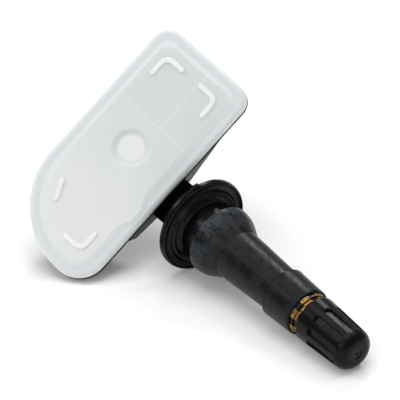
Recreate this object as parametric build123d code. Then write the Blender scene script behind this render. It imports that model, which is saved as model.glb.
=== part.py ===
from build123d import *

import os
from math import cos, radians, sin

# A tyre pressure sensor on a rubber snap-in valve, in millimetres.
# Everything is drawn around the stem: +X runs along it to the cap, +Z is the lid's side and +Y the
# housing's short end. The origin is the middle of the flange's sealing face, which bears on the wheel rim.
# One last turn lays the whole part down as it comes to rest on a table.

# Rubber valve: lengths along the stem from the flange's sealing face, radii about the stem
flange_radius = 9.75
flange_thickness = 1.6
flange_edge = 0.3
flange_line_width = 0.26
flange_line_depth = 0.3
flange_bead = 0.34
flange_bead_drop = 0.075
flange_bead_arc = 0.4
flange_land = 0.1
flange_groove_depth = 0.6
lip_radius = 7.4
lip_height = 0.55
lip_width = 0.7
neck_radius = 5.9
neck_fillet = 0.8
groove_width = 5.0
bulb_undercut = 0.9
bulb_radius = 7.2
bulb_shoulder = 2.6
bulb_shoulder_drop = 0.5
bulb_length = 5.9
shank_radius = 5.15
shank_end_radius = 4.5
shank_length = 14.1
collar_radius = 5.15
collar_end_radius = 4.9
collar_length = 7.4
collar_rounding = 0.4
gate_nub_width = 1.4
gate_nub_length = 0.9
gate_nub_height = 0.55
gate_nub_root = 1.0
gate_nub_angle = 25.0

# Brass valve stem, moulded into the rubber
brass_radius = 3.6
brass_neck_radius = 3.1
brass_neck_length = 6.4
brass_shoulder = 0.6
crown_radius = 4.45
crown_length = 1.4
crown_sunk = 0.5
crown_notches = 8
crown_notch_width = 1.6
crown_notch_depth = 0.7
crown_turn = 4.6
crown_key_setback = 0.15
crown_key_drop = 0.12
relief_radius = 4.0
relief_length = 0.3
ring_radius = 4.3
ring_length = 0.4
thread_radius = 3.85
thread_depth = 0.43
thread_length = 8.9
thread_chamfer = 0.3
air_bore_radius = 1.8
air_hole_radius = 1.1
air_hole_setback = 1.4
seat_bore_radius = 2.25

# Valve core, screwed into the mouth of the stem
core_bore_radius = 2.65
core_clearance = 0.05
plug_setback = 0.6
plug_length = 4.2
plug_slot_width = 1.5
plug_slot_depth = 1.9
barrel_radius = 2.0
barrel_wall = 0.6
barrel_length = 7.4
barrel_floor = 0.8
barrel_flow_radius = 1.0
gasket_length = 1.8
gasket_offset = 1.6
pin_radius = 0.6
pin_setback = 0.25
pin_head_radius = 0.95
pin_head_length = 0.35
pin_collar_length = 0.5
cup_radius = 1.75
cup_length = 0.8
cup_seal_radius = 1.6
cup_seal_length = 0.6
pin_stroke = 1.3
spring_wire = 0.3
spring_turns = 7

# Valve cap and the washer in it
cap_gap = 0.3
cap_length = 13.0
cap_radius = 4.75
cap_shoulder_radius = 4.25
cap_dome_length = 2.3
cap_crown_radius = 1.9
cap_edge = 0.3
cap_thread_clearance = 0.05
cap_washer_radius = 3.6
cap_hollow_radius = 2.2
cap_hollow_depth = 1.5
cap_flutes = 10
cap_flute_turn = 0.9
cap_flute_width = 1.5
cap_flute_depth = 0.38
cap_flute_fall = 0.4
cap_skirt_length = 3.3
cap_flute_end = 1.9
cap_gate_radius = 1.05
cap_gate_depth = 0.15
cap_gate_hole_radius = 0.22
cap_gate_hole_depth = 0.45
seal_thickness = 0.9

# Lid: the housing's own frame has its X axis across the lid to the stem's side and its Z axis out of the lid
lid_tilt = 26.0
lid_edge_setback = 7.3
lid_edge_height = 6.0
lid_width = 23.2
short_reach = 25.0
broad_reach = 25.0
near_short_radius = 3.6
far_short_radius = 3.4
far_broad_radius = 16.6
near_broad_radius = 6.0
lid_thickness = 1.4
lid_edge_round = 0.9
weld_band = 1.9
plateau_height = 0.3
plateau_slope = 1.2
plateau_corner_radius = 2.4
plateau_bump_width = 3.0
plateau_bump_slope = 2.4
plateau_bump_reach = 1.35
plateau_bump_foot = 0.9
plateau_bump_start = 3.3
plateau_bump_round = 1.6
dimple_radius = 2.9
dimple_slope = 1.0
dimple_depth = 0.42
dimple_place = (-11.4, 1.9)
rib_width = 1.1
rib_height = 0.36
rib_round = 0.3
rib_bend_radius = 1.5
rib_inset_far = 4.9
rib_inset_near = 5.2
rib_inset_short = 5.2
rib_inset_broad = 5.8
rib_leg = 4.1
arc_rib_turns = (17.0, 36.0)

# Housing under the lid
housing_depth = 9.4
rim_inset = 0.1
rim_depth = 1.5
wall = 1.3
floor_inset_near = 4.0
floor_inset_far = 1.6
floor_inset_short = 3.2
floor_inset_broad = 4.6
floor_near_short_radius = 7.0
floor_far_short_radius = 6.0
floor_far_broad_radius = 8.4
floor_near_broad_radius = 9.0
floor_round = 2.8
smallest_radius = 0.8
widest_pair_share = 0.98
web_depth = 6.6
web_reach_short = 15.2
web_reach_broad = 11.9
web_knee_reach = 10.3
web_knee_depth = 4.8
cradle_gap = 0.4
cradle_width = 9.2
cradle_cheek_height = 1.6
cradle_clearance = 0.06
seat_wall = 2.4

# Screw that holds the housing to the stem, and the channel that a driver reaches it by
screw_radius = 1.1
screw_hole_clearance = 0.15
screw_length = 3.0
screw_head_radius = 2.0
screw_head_length = 1.6
screw_recess_radius = 1.05
screw_recess_depth = 0.9
screw_lobes = 6
screw_lobe_radius = 0.35
channel_clearance = 0.35
channel_wall = 1.1

# Electronics under the lid
board_thickness = 0.8
board_drop = 0.9
board_inset = 1.9
board_clearance = 0.2
ledge_width = 0.8
cell_radius = 8.0
cell_thickness = 3.2
cell_rim = 0.9
cell_step = 0.3
cell_clearance = 0.2
tab_thickness = 0.2
tab_width = 4.0
chip_width = 6.0
chip_height = 2.0
chip_inset_near = 8.6
chip_gap = 1.8
port_radius = 0.7
port_seal_radius = 2.0
filter_radius = 1.9
filter_thickness = 0.3
coil_length = 7.2
coil_width = 2.7
coil_height = 2.6
coil_flange = 0.7
coil_winding_drop = 0.3
coil_gap = 0.9
crystal_length = 3.2
crystal_width = 2.5
crystal_height = 0.8
crystal_inset_short = 6.2
crystal_gap = 1.4
antenna_wire_radius = 0.45
antenna_height = 2.6
antenna_bend = 1.2
antenna_inset_far = 4.2
antenna_inset_short = 5.7
antenna_gap = 2.6
small_part_length = 1.6
small_part_width = 0.8
small_part_height = 0.6
small_part_pitch = 1.7
small_part_count = 4
small_part_gap = 3.7

# Laying the part down
most_drop = 20.0
most_roll = 80.0
settle_steps = 24
settle_passes = 2

# Stations along the stem that follow from the lengths above
flange_back = -flange_thickness
neck_end = flange_back - brass_neck_length
seat_wall_back = neck_end - seat_wall
bulb_end = groove_width + bulb_length
collar_start = bulb_end + shank_length
rubber_end = collar_start + collar_length
crown_start = rubber_end - crown_sunk
crown_end = crown_start + crown_length
ring_start = crown_end + relief_length
ring_end = ring_start + ring_length
thread_root = thread_radius - thread_depth
mouth = ring_end + thread_length
cap_base = ring_end + cap_gap
cap_tip = cap_base + cap_length
cap_ceiling = mouth + seal_thickness
plug_top = mouth - plug_setback
plug_bottom = plug_top - plug_length
barrel_bottom = plug_bottom - barrel_length
gasket_top = plug_bottom - gasket_offset
gasket_bottom = gasket_top - gasket_length
cup_top = barrel_bottom - cup_seal_length
cup_bottom = cup_top - cup_length
air_bore_top = cup_bottom - pin_stroke - cup_length
air_hole = flange_back - air_hole_setback
pin_top = mouth - pin_setback
pin_hole_radius = pin_radius + core_clearance
spring_radius = barrel_radius - barrel_wall - core_clearance - spring_wire / 2
spring_bottom = barrel_bottom + barrel_floor
spring_top = plug_bottom - pin_collar_length - core_clearance

# Heights under the lid, in the housing's own frame
board_top = -lid_thickness - board_drop
board_bottom = board_top - board_thickness
rim_bottom = -lid_thickness - rim_depth
housing_floor = -housing_depth
cavity_floor = housing_floor + wall
web_thickness = floor_inset_near + wall
cell_top = board_bottom - tab_thickness
cell_bottom = cell_top - cell_thickness
channel_radius = screw_head_radius + channel_clearance
channel_outer_radius = channel_radius + channel_wall
channel_length = lid_width
cell_place = (-lid_width / 2, -channel_outer_radius - cell_clearance - tab_thickness - cell_radius)
antenna_x = -lid_width + antenna_inset_far
antenna_start = short_reach - antenna_inset_short
antenna_end = channel_outer_radius + antenna_gap
coil_x = antenna_x + antenna_wire_radius + coil_gap + coil_width / 2
crystal_place = (coil_x, short_reach - crystal_inset_short)
coil_place = (coil_x, crystal_place[1] - crystal_length / 2 - crystal_gap - coil_length / 2)
small_part_row = channel_outer_radius + small_part_gap + small_part_length / 2
chip_place = (-chip_inset_near, small_part_row + small_part_length / 2 + chip_gap + chip_width / 2)
lid_corners = (near_short_radius, far_short_radius, far_broad_radius, near_broad_radius)
floor_corners = (
    floor_near_short_radius,
    floor_far_short_radius,
    floor_far_broad_radius,
    floor_near_broad_radius,
)
floor_insets = (floor_inset_near, floor_inset_far, floor_inset_short, floor_inset_broad)
housing_frame = Pos(-lid_edge_setback, 0, lid_edge_height) * Rotation(0, lid_tilt, 0)


def turned(*edges):
    """Solid of revolution about the stem from the edges of its half section, lengths on X and radii on Y."""
    return revolve(make_face(Curve() + list(edges)), Axis.X)


def rod(radius, start, end):
    """Round bar on the stem's axis."""
    return Pos((start + end) / 2, 0, 0) * Rotation(0, 90, 0) * Cylinder(radius, abs(end - start))


def around_stem(count, shape):
    """Copies of a shape spaced evenly about the stem."""
    return [Rotation(360 / count * i, 0, 0) * shape for i in range(count)]


def plan(insets, corners, swell=(), swell_radius=0):
    """Face with the lid's outline, drawn in by four insets, and with any swell of its near side in it."""
    near, far, short, broad = insets
    points = (
        (-near, short_reach - short),
        (-lid_width + far, short_reach - short),
        (-lid_width + far, -broad_reach + broad),
        (-near, -broad_reach + broad),
        *swell,
    )
    width = lid_width - near - far
    widest_pair = max(corners[0] + corners[1], corners[2] + corners[3])
    fit = min(1, widest_pair_share * width / widest_pair)
    radii = [fit * r for r in corners] + [swell_radius] * len(swell)
    return make_face(FilletPolyline(*points, radius=radii, close=True))


def inset_plan(inset):
    """Face with the lid's outline, drawn in evenly."""
    return plan((inset,) * 4, [max(r - inset, smallest_radius) for r in lid_corners])


def floor_plan(inset):
    """Face with the outline of the housing's floor, drawn in evenly."""
    insets = [side + inset for side in floor_insets]
    return plan(insets, [max(r - inset, smallest_radius) for r in floor_corners])


def slab(face, top, bottom):
    """Flat plate of a given outline between two heights."""
    return extrude(Pos(0, 0, bottom) * face, amount=top - bottom, dir=(0, 0, 1))


def block(place, size, top):
    """Box under a height, centred on a place in plan."""
    return Pos(place[0], place[1], top - size[2] / 2) * Box(*size)


def crown_keys():
    """Fingers of rubber that fill the notches of the stem's crown."""
    length = crown_length - crown_key_setback
    foot = crown_radius - crown_notch_depth
    height = crown_notch_depth - crown_key_drop
    key = Pos(crown_start + length / 2, 0, foot + height / 2) * Box(length, crown_notch_width, height)
    return around_stem(crown_notches, Rotation(crown_turn, 0, 0) * key)


def make_valve_rubber():
    """One rubber moulding: flange with its sealing face, rim groove, snap-in bulb, shank and collar."""
    bead_radius = flange_radius - flange_bead
    land_radius = bead_radius - flange_land
    lip_foot = lip_radius + lip_width / 2
    lip_inside = lip_radius - lip_width
    shoulder = (groove_width + bulb_shoulder, bulb_radius - bulb_shoulder_drop)
    shoulder_middle = (groove_width + bulb_shoulder / 2, bulb_radius - bulb_shoulder_drop / 4)
    flange_side = Polyline(
        (flange_back, brass_neck_radius),
        (flange_back, flange_radius - flange_edge),
        (flange_back + flange_edge, flange_radius),
        (-flange_bead - flange_line_width, flange_radius),
        (-flange_bead - flange_line_width / 2, flange_radius - flange_line_depth),
        (-flange_bead, flange_radius - flange_bead_drop),
    )
    bead = RadiusArc(flange_side @ 1, (0, bead_radius), flange_bead_arc)
    land = Line((0, bead_radius), (0, land_radius))
    groove_middle = (-flange_groove_depth, (land_radius + lip_foot) / 2)
    groove = ThreePointArc((0, land_radius), groove_middle, (0, lip_foot))
    lip = Polyline((0, lip_foot), (lip_height, lip_radius), (0, lip_inside))
    throat = RadiusArc((0, lip_inside), (neck_fillet, neck_radius), -lip_inside + neck_radius - neck_fillet)
    neck = Polyline(
        (neck_fillet, neck_radius),
        (groove_width - bulb_undercut, neck_radius),
        (groove_width, bulb_radius),
    )
    bulb = ThreePointArc((groove_width, bulb_radius), shoulder_middle, shoulder)
    shank = Polyline(
        shoulder,
        (bulb_end, shank_radius),
        (collar_start, shank_end_radius),
        (collar_start, collar_radius),
        (rubber_end - collar_rounding, collar_end_radius),
    )
    end_round = RadiusArc(shank @ 1, (rubber_end, collar_end_radius - collar_rounding), collar_rounding)
    bore = Polyline(
        end_round @ 1,
        (rubber_end, crown_radius),
        (crown_start, crown_radius),
        (crown_start, brass_radius),
        (flange_back + brass_shoulder, brass_radius),
        (flange_back, brass_neck_radius),
    )
    body = turned(flange_side, bead, land, groove, lip, throat, neck, bulb, shank, end_round, bore)
    nub = Pos(-flange_thickness / 2, 0, flange_radius + (gate_nub_height - gate_nub_root) / 2) * Box(
        gate_nub_length, gate_nub_width, gate_nub_height + gate_nub_root
    )
    return body + Rotation(-gate_nub_angle, 0, 0) * nub + crown_keys()


def make_valve_stem():
    """Turned brass stem: neck with the screw's hole, notched crown, ring, root of the cap's thread, core's bore."""
    screw_hole_end = neck_end + screw_length + screw_head_length
    air_bore_end = air_hole - air_hole_radius
    body = turned(
        Polyline(
            (neck_end, screw_radius),
            (neck_end, brass_neck_radius),
            (flange_back, brass_neck_radius),
            (flange_back + brass_shoulder, brass_radius),
            (crown_start, brass_radius),
            (crown_start, crown_radius),
            (crown_end, crown_radius),
            (crown_end, relief_radius),
            (ring_start, relief_radius),
            (ring_start, ring_radius),
            (ring_end, ring_radius),
            (ring_end, thread_root),
            (mouth - thread_chamfer, thread_root),
            (mouth, thread_root - thread_chamfer),
            (mouth, core_bore_radius),
            (gasket_top, core_bore_radius),
            (gasket_bottom, seat_bore_radius),
            (air_bore_top, seat_bore_radius),
            (air_bore_top, air_bore_radius),
            (air_bore_end, air_bore_radius),
            (air_bore_end, 0),
            (screw_hole_end, 0),
            (screw_hole_end, screw_radius),
            close=True,
        )
    )
    notch = Pos(crown_end, 0, crown_radius) * Box(2 * crown_length, crown_notch_width, 2 * crown_notch_depth)
    air_way = Pos(air_hole, 0, brass_neck_radius) * Cylinder(air_hole_radius, 2 * brass_neck_radius)
    return body - around_stem(crown_notches, Rotation(crown_turn, 0, 0) * notch) - air_way


def make_core_plug():
    """Threaded plug of the valve core, slotted across its top for the key."""
    body = turned(
        Polyline(
            (plug_bottom, pin_hole_radius),
            (plug_bottom, core_bore_radius - core_clearance),
            (plug_top, core_bore_radius - core_clearance),
            (plug_top, pin_head_radius + core_clearance),
            (plug_top - pin_stroke, pin_head_radius + core_clearance),
            (plug_top - pin_stroke, pin_hole_radius),
            close=True,
        )
    )
    slot = Pos(plug_top, 0, core_bore_radius) * Box(2 * plug_slot_depth, plug_slot_width, 2 * barrel_wall)
    return body - around_stem(2, slot)


def make_core_barrel():
    """Barrel of the valve core: the spring's chamber, with a floor that is the valve's seat."""
    return turned(
        Polyline(
            (barrel_bottom, barrel_flow_radius),
            (barrel_bottom, barrel_radius),
            (plug_bottom, barrel_radius),
            (plug_bottom, barrel_radius - barrel_wall),
            (spring_bottom, barrel_radius - barrel_wall),
            (spring_bottom, barrel_flow_radius),
            close=True,
        )
    )


def make_core_gasket():
    """Tapered ring on the barrel that seals in the stem's cone."""
    return turned(
        Polyline(
            (gasket_bottom, barrel_radius),
            (gasket_bottom, seat_bore_radius),
            (gasket_top, core_bore_radius),
            (gasket_top, barrel_radius),
            close=True,
        )
    )


def make_core_pin():
    """Pin of the valve core, with its button and the collar that the spring pushes."""
    collar_radius_on_pin = barrel_radius - barrel_wall - core_clearance
    return turned(
        Polyline(
            (cup_bottom, 0),
            (cup_bottom, pin_radius),
            (spring_top, pin_radius),
            (spring_top, collar_radius_on_pin),
            (spring_top + pin_collar_length, collar_radius_on_pin),
            (spring_top + pin_collar_length, pin_radius),
            (pin_top - pin_head_length, pin_radius),
            (pin_top - pin_head_length, pin_head_radius),
            (pin_top, pin_head_radius),
            (pin_top, 0),
            close=True,
        )
    )


def make_core_cup():
    """Cup at the pin's foot that carries the valve's seal."""
    return rod(cup_radius, cup_bottom, cup_top) - rod(pin_radius, cup_bottom, cup_top)


def make_core_cup_seal():
    """Rubber ring that the cup holds against the barrel's seat."""
    return rod(cup_seal_radius, cup_top, barrel_bottom) - rod(pin_radius, cup_top, barrel_bottom)


def make_core_spring():
    """Coil spring around the pin, from the barrel's floor to the pin's collar."""
    length = spring_top - spring_bottom - spring_wire
    path = Helix(length / spring_turns, length, spring_radius)
    wire = Plane(path @ 0, z_dir=path % 0) * Circle(spring_wire / 2)
    coil = sweep(wire, path=path)
    return Pos(spring_bottom + spring_wire / 2, 0, 0) * Rotation(0, 90, 0) * coil


def make_valve_cap():
    """Moulded cap with a plain skirt, a ring of flutes and a domed end with its gate mark."""
    shoulder = cap_tip - cap_dome_length
    bore_radius = thread_radius + cap_thread_clearance
    side = Polyline(
        (cap_base, bore_radius),
        (cap_base, cap_radius - cap_edge),
        (cap_base + cap_edge, cap_radius),
        (shoulder, cap_shoulder_radius),
    )
    dome_turn = radians(45)
    dome_fall = cap_shoulder_radius - cap_crown_radius
    dome_middle = (shoulder + cap_dome_length * sin(dome_turn), cap_crown_radius + dome_fall * cos(dome_turn))
    dome = ThreePointArc(side @ 1, dome_middle, (cap_tip, cap_crown_radius))
    inside = Polyline(
        dome @ 1,
        (cap_tip, cap_gate_radius),
        (cap_tip - cap_gate_depth, cap_gate_radius),
        (cap_tip - cap_gate_depth, cap_gate_hole_radius),
        (cap_tip - cap_gate_hole_depth, cap_gate_hole_radius),
        (cap_tip - cap_gate_hole_depth, 0),
        (cap_ceiling + cap_hollow_depth, 0),
        (cap_ceiling + cap_hollow_depth, cap_hollow_radius),
        (cap_ceiling, cap_hollow_radius),
        (cap_ceiling, cap_washer_radius),
        (mouth, cap_washer_radius),
        (mouth, bore_radius),
        (cap_base, bore_radius),
    )
    flute_start = cap_base + cap_skirt_length
    flute_stop = shoulder + cap_flute_end - cap_flute_width
    fall = (cap_radius - cap_shoulder_radius) / (shoulder - cap_base)
    middle = (flute_start + flute_stop) / 2
    middle_radius = cap_radius - fall * (middle - cap_base)
    lean = cap_flute_fall * fall
    floor = Plane((middle, 0, middle_radius - cap_flute_depth), x_dir=(1, 0, -lean), z_dir=(lean, 0, 1))
    slot = SlotOverall(flute_stop - flute_start, cap_flute_width)
    flute = extrude(floor * slot, amount=2 * cap_flute_depth + cap_dome_length)
    return turned(side, dome, inside) - around_stem(cap_flutes, Rotation(cap_flute_turn, 0, 0) * flute)


def make_cap_seal():
    """Rubber washer in the cap that closes on the stem's mouth."""
    return rod(cap_washer_radius, mouth, cap_ceiling) - rod(cap_hollow_radius, mouth, cap_ceiling)


def make_rib(*points):
    """Raised rib on the lid's plateau along a bent line, with round ends and a rounded top."""
    line = FilletPolyline(*points, radius=rib_bend_radius) if len(points) > 2 else Line(*points)
    stroke = trace(line, line_width=rib_width)
    ends = [Pos(*point) * Circle(rib_width / 2) for point in (points[0], points[-1])]
    rib = slab(stroke + ends, plateau_height + rib_height, plateau_height)
    return fillet(rib.edges().group_by(Axis.Z)[-1], rib_round)


def plateau_plan(inset, reach):
    """Face of the lid's plateau at some height of its slope, which swells towards the stem's side."""
    crest = -plateau_bump_start - plateau_bump_slope
    swell = (
        (-inset, crest - plateau_bump_width - plateau_bump_slope),
        (-inset + reach, crest - plateau_bump_width),
        (-inset + reach, crest),
        (-inset, -plateau_bump_start),
    )
    corners = [max(r - inset, plateau_corner_radius) for r in lid_corners]
    return plan((inset,) * 4, corners, swell, plateau_bump_round)


def make_lid():
    """Welded lid: rounded plate, plateau with sloping sides, round dimple and moulded corner ribs."""
    plate = slab(inset_plan(0), 0, -lid_thickness)
    plate = fillet(plate.edges().group_by(Axis.Z)[-1], lid_edge_round)
    foot = plateau_plan(weld_band, plateau_bump_foot)
    crown = plateau_plan(weld_band + plateau_slope, plateau_bump_reach)
    plateau = loft([foot, Pos(0, 0, plateau_height) * crown], ruled=True)
    far = -lid_width + rib_inset_far
    near = -rib_inset_near
    short = short_reach - rib_inset_short
    broad = -broad_reach + rib_inset_broad
    arc_middle = (-lid_width + far_broad_radius, -broad_reach + far_broad_radius)
    arc_radius = far_broad_radius - rib_inset_far - rib_width / 2
    arc_ends = [
        (arc_middle[0] - arc_radius * cos(radians(turn)), arc_middle[1] - arc_radius * sin(radians(turn)))
        for turn in arc_rib_turns
    ]
    ribs = [
        make_rib((far, short - rib_leg), (far, short), (far + rib_leg, short)),
        make_rib((near, short - rib_leg), (near, short), (near - rib_leg, short)),
        make_rib((near, broad + rib_leg), (near, broad), (near - rib_leg, broad)),
        make_rib(*arc_ends),
    ]
    dimple = Pos(*dimple_place, plateau_height - dimple_depth / 2) * Cone(
        dimple_radius, dimple_radius + dimple_slope, dimple_depth
    )
    return housing_frame * (plate + plateau + ribs - dimple)


def make_cradle():
    """Trough behind the flange that the stem's neck lies in, closed by the wall that the screw pulls on."""
    half = cradle_width / 2
    start = flange_back - cradle_gap
    length = start - seat_wall_back + channel_wall
    middle = start - length / 2
    trough = rod(half, start, start - length)
    trough -= Pos(middle, 0, half) * Box(2 * length, 4 * half, 2 * half)
    cheeks = Pos(middle, 0, cradle_cheek_height / 2) * Box(length, cradle_width, cradle_cheek_height)
    return trough + cheeks


def make_webs():
    """Upright webs along the stem's side of the housing, deepest at the cradle."""
    half = cradle_width / 2
    top = rim_bottom + rim_depth / 2
    deep = -lid_thickness - web_depth
    outline = Polyline(
        (-web_reach_broad, top),
        (-web_reach_broad, rim_bottom),
        (-web_knee_reach, -lid_thickness - web_knee_depth),
        (-half, deep),
        (half, deep),
        (web_reach_short, rim_bottom),
        (web_reach_short, top),
        close=True,
    )
    face = Plane((-rim_inset, 0, 0), x_dir=(0, 1, 0), z_dir=(1, 0, 0)) * make_face(outline)
    return extrude(face, amount=-web_thickness)


def make_cavity():
    """Hollow of the housing: a shelf for the board, the tapered well under it and the cell's pocket."""
    well_inset = board_inset + ledge_width
    upper = slab(inset_plan(board_inset - board_clearance), -lid_thickness, board_bottom)
    well = loft(
        [Pos(0, 0, board_bottom) * inset_plan(well_inset), Pos(0, 0, cavity_floor) * floor_plan(wall)],
        ruled=True,
    )
    pocket_radius = cell_radius + cell_clearance + tab_thickness
    pocket = slab(Pos(*cell_place) * Circle(pocket_radius), board_bottom, cell_bottom - 2 * tab_thickness)
    return upper + well + pocket


def make_housing():
    """Moulded housing: welding rim, tapered bowl, webs and cradle, hollow apart from the driver's channel."""
    rim = slab(inset_plan(rim_inset), -lid_thickness, rim_bottom)
    bowl = loft(
        [Pos(0, 0, rim_bottom) * inset_plan(rim_inset), Pos(0, 0, housing_floor) * floor_plan(0)], ruled=True
    )
    bowl = fillet(bowl.edges().group_by(Axis.Z)[0], floor_round)
    tunnel = rod(channel_outer_radius, neck_end, seat_wall_back - channel_length)
    body = housing_frame * (rim + bowl + make_webs()) + make_cradle()
    body -= housing_frame * make_cavity() - tunnel
    neck_room = brass_neck_radius + cradle_clearance
    slot_end = flange_back - cradle_gap
    slot_length = slot_end - neck_end
    body -= rod(neck_room, neck_end, slot_end)
    body -= Pos(neck_end + slot_length / 2, 0, neck_room) * Box(slot_length, 2 * neck_room, 2 * neck_room)
    body -= rod(screw_radius + screw_hole_clearance, neck_end, seat_wall_back)
    body -= rod(channel_radius, seat_wall_back, seat_wall_back - channel_length)
    port = Pos(*chip_place, cavity_floor) * Cylinder(port_radius, 3 * wall)
    filter_disc = Pos(*chip_place) * Circle(filter_radius)
    recess = slab(filter_disc, housing_floor + filter_thickness, housing_floor - wall)
    return body - housing_frame * port - housing_frame * recess


def make_stem_screw():
    """Pan-head screw through the seat wall into the neck, with a six-lobed driver recess."""
    shank = rod(screw_radius, neck_end + screw_length, seat_wall_back)
    head = rod(screw_head_radius, seat_wall_back, seat_wall_back - screw_head_length)
    head_face = seat_wall_back - screw_head_length
    recess_end = head_face + screw_recess_depth
    recess = rod(screw_recess_radius, head_face, recess_end)
    lobe = Pos(0, 0, screw_recess_radius) * rod(screw_lobe_radius, head_face, recess_end)
    return shank + head - recess - around_stem(screw_lobes, lobe)


def make_circuit_board():
    """Board on the housing's shelf, notched around the driver's channel."""
    board = slab(inset_plan(board_inset), board_top, board_bottom)
    notch_radius = channel_outer_radius + board_clearance
    return housing_frame * board - rod(notch_radius, neck_end, seat_wall_back - channel_length)


def make_battery():
    """Coin cell: a wide can with the narrower stepped cap of its other pole."""
    can = slab(Pos(*cell_place) * Circle(cell_radius), cell_top, cell_bottom + cell_step)
    can = fillet(can.edges().group_by(Axis.Z)[-1], cell_step)
    pole = slab(Pos(*cell_place) * Circle(cell_radius - cell_rim), cell_bottom + cell_step, cell_bottom)
    return housing_frame * (can + pole)


def make_upper_tab():
    """Welded strip between the cell's can and the board."""
    size = (tab_width, 2 * cell_radius - tab_width, tab_thickness)
    return housing_frame * block(cell_place, size, board_bottom)


def make_lower_tab():
    """Welded strip under the cell, bent up beside it to the board."""
    reach = cell_radius + cell_clearance
    leg_height = board_bottom - cell_bottom + tab_thickness
    strip_length = reach + tab_thickness
    strip_place = (cell_place[0], cell_place[1] + strip_length / 2)
    strip = block(strip_place, (tab_width, strip_length, tab_thickness), cell_bottom)
    leg_place = (cell_place[0], cell_place[1] + reach + tab_thickness / 2)
    leg = block(leg_place, (tab_width, tab_thickness, leg_height), board_bottom)
    return housing_frame * (strip + leg)


def make_sensor_chip():
    """Pressure chip under the board, open to the port."""
    body = block(chip_place, (chip_width, chip_width, chip_height), board_bottom)
    opening = Pos(*chip_place, board_bottom - chip_height) * Cylinder(port_radius, chip_height)
    return housing_frame * (body - opening)


def make_port_seal():
    """Soft tube that joins the chip's opening to the housing's port."""
    top = board_bottom - chip_height
    ring = Circle(port_seal_radius) - Circle(port_radius)
    return housing_frame * slab(Pos(*chip_place) * ring, top, cavity_floor)


def make_port_filter():
    """Membrane disc in its recess outside the port."""
    disc = Pos(*chip_place) * Circle(filter_radius)
    return housing_frame * slab(disc, housing_floor + filter_thickness, housing_floor)


def make_trigger_coil():
    """Wound ferrite bar that wakes the sensor, with its two end blocks."""
    core = block(
        coil_place,
        (coil_width - 2 * coil_winding_drop, coil_length, coil_height - coil_winding_drop),
        board_bottom - coil_winding_drop,
    )
    end_shift = (coil_length - coil_flange) / 2
    ends = [
        block((coil_place[0], coil_place[1] + shift), (coil_width, coil_flange, coil_height), board_bottom)
        for shift in (-end_shift, end_shift)
    ]
    return housing_frame * (core + ends)


def make_crystal():
    """Canned crystal that times the transmitter."""
    can = block(crystal_place, (crystal_width, crystal_length, crystal_height), board_bottom)
    return housing_frame * fillet(can.edges().filter_by(Axis.Z), crystal_height / 4)


def make_antenna():
    """Wire loop along the far side of the board, its two feet on the board."""
    low = board_bottom - antenna_height
    path = FilletPolyline(
        (antenna_x, antenna_start, board_bottom),
        (antenna_x, antenna_start, low),
        (antenna_x, antenna_end, low),
        (antenna_x, antenna_end, board_bottom),
        radius=antenna_bend,
    )
    wire = Plane(path @ 0, z_dir=path % 0) * Circle(antenna_wire_radius)
    return housing_frame * sweep(wire, path=path)


def make_small_parts():
    """Row of chip resistors and capacitors beside the pressure chip."""
    size = (small_part_width, small_part_length, small_part_height)
    first = chip_place[0] + small_part_pitch * (small_part_count - 1) / 2
    return housing_frame * Compound(
        children=[
            block((first - small_part_pitch * i, small_part_row), size, board_bottom)
            for i in range(small_part_count)
        ]
    )


def lowest(names, turn):
    """Height of the lowest point of some nodes once they are turned."""
    return min((turn * nodes[name]).bounding_box().min.Z for name in names)


def settle(turn_by, first, second, most):
    """Angle from 0 to most degrees at which two groups of nodes reach equally low."""
    low, high = 0.0, most
    for _ in range(settle_steps):
        angle = (low + high) / 2
        turn = turn_by(angle)
        if lowest(first, turn) > lowest(second, turn):
            low = angle
        else:
            high = angle
    return (low + high) / 2


nodes = {
    "valve_rubber": make_valve_rubber(),
    "valve_stem": make_valve_stem(),
    "core_plug": make_core_plug(),
    "core_barrel": make_core_barrel(),
    "core_gasket": make_core_gasket(),
    "core_pin": make_core_pin(),
    "core_cup": make_core_cup(),
    "core_cup_seal": make_core_cup_seal(),
    "core_spring": make_core_spring(),
    "valve_cap": make_valve_cap(),
    "cap_seal": make_cap_seal(),
    "housing": make_housing(),
    "lid": make_lid(),
    "stem_screw": make_stem_screw(),
    "circuit_board": make_circuit_board(),
    "battery": make_battery(),
    "upper_tab": make_upper_tab(),
    "lower_tab": make_lower_tab(),
    "sensor_chip": make_sensor_chip(),
    "port_seal": make_port_seal(),
    "port_filter": make_port_filter(),
    "trigger_coil": make_trigger_coil(),
    "crystal": make_crystal(),
    "antenna": make_antenna(),
    "small_parts": make_small_parts(),
}

# At rest the flange, the cap's end and the housing's broad corner all touch the table
flange, cap, broad_corner = ["valve_rubber"], ["valve_cap"], ["lid", "housing"]
drop, roll = 0.0, 0.0
for _ in range(settle_passes):
    drop = settle(lambda a: Rotation(0, a, 0) * Rotation(roll, 0, 0), cap, flange, most_drop)
    roll = settle(lambda a: Rotation(0, drop, 0) * Rotation(a, 0, 0), broad_corner, flange, most_roll)
rest = Rotation(0, drop, 0) * Rotation(roll, 0, 0)
print(f"the stem drops by {drop:.4f} degrees and the housing rolls by {roll:.4f} degrees")

os.makedirs("parts", exist_ok=True)
for name, shape in nodes.items():
    export_step(rest * shape, f"parts/{name}.step")
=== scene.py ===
"""Looks of a tyre pressure sensor on a rubber snap-in valve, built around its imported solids."""

import logging
import math
from dataclasses import dataclass, field
from enum import Enum
from typing import Any

import bpy
from mathutils import Matrix, Vector


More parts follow.
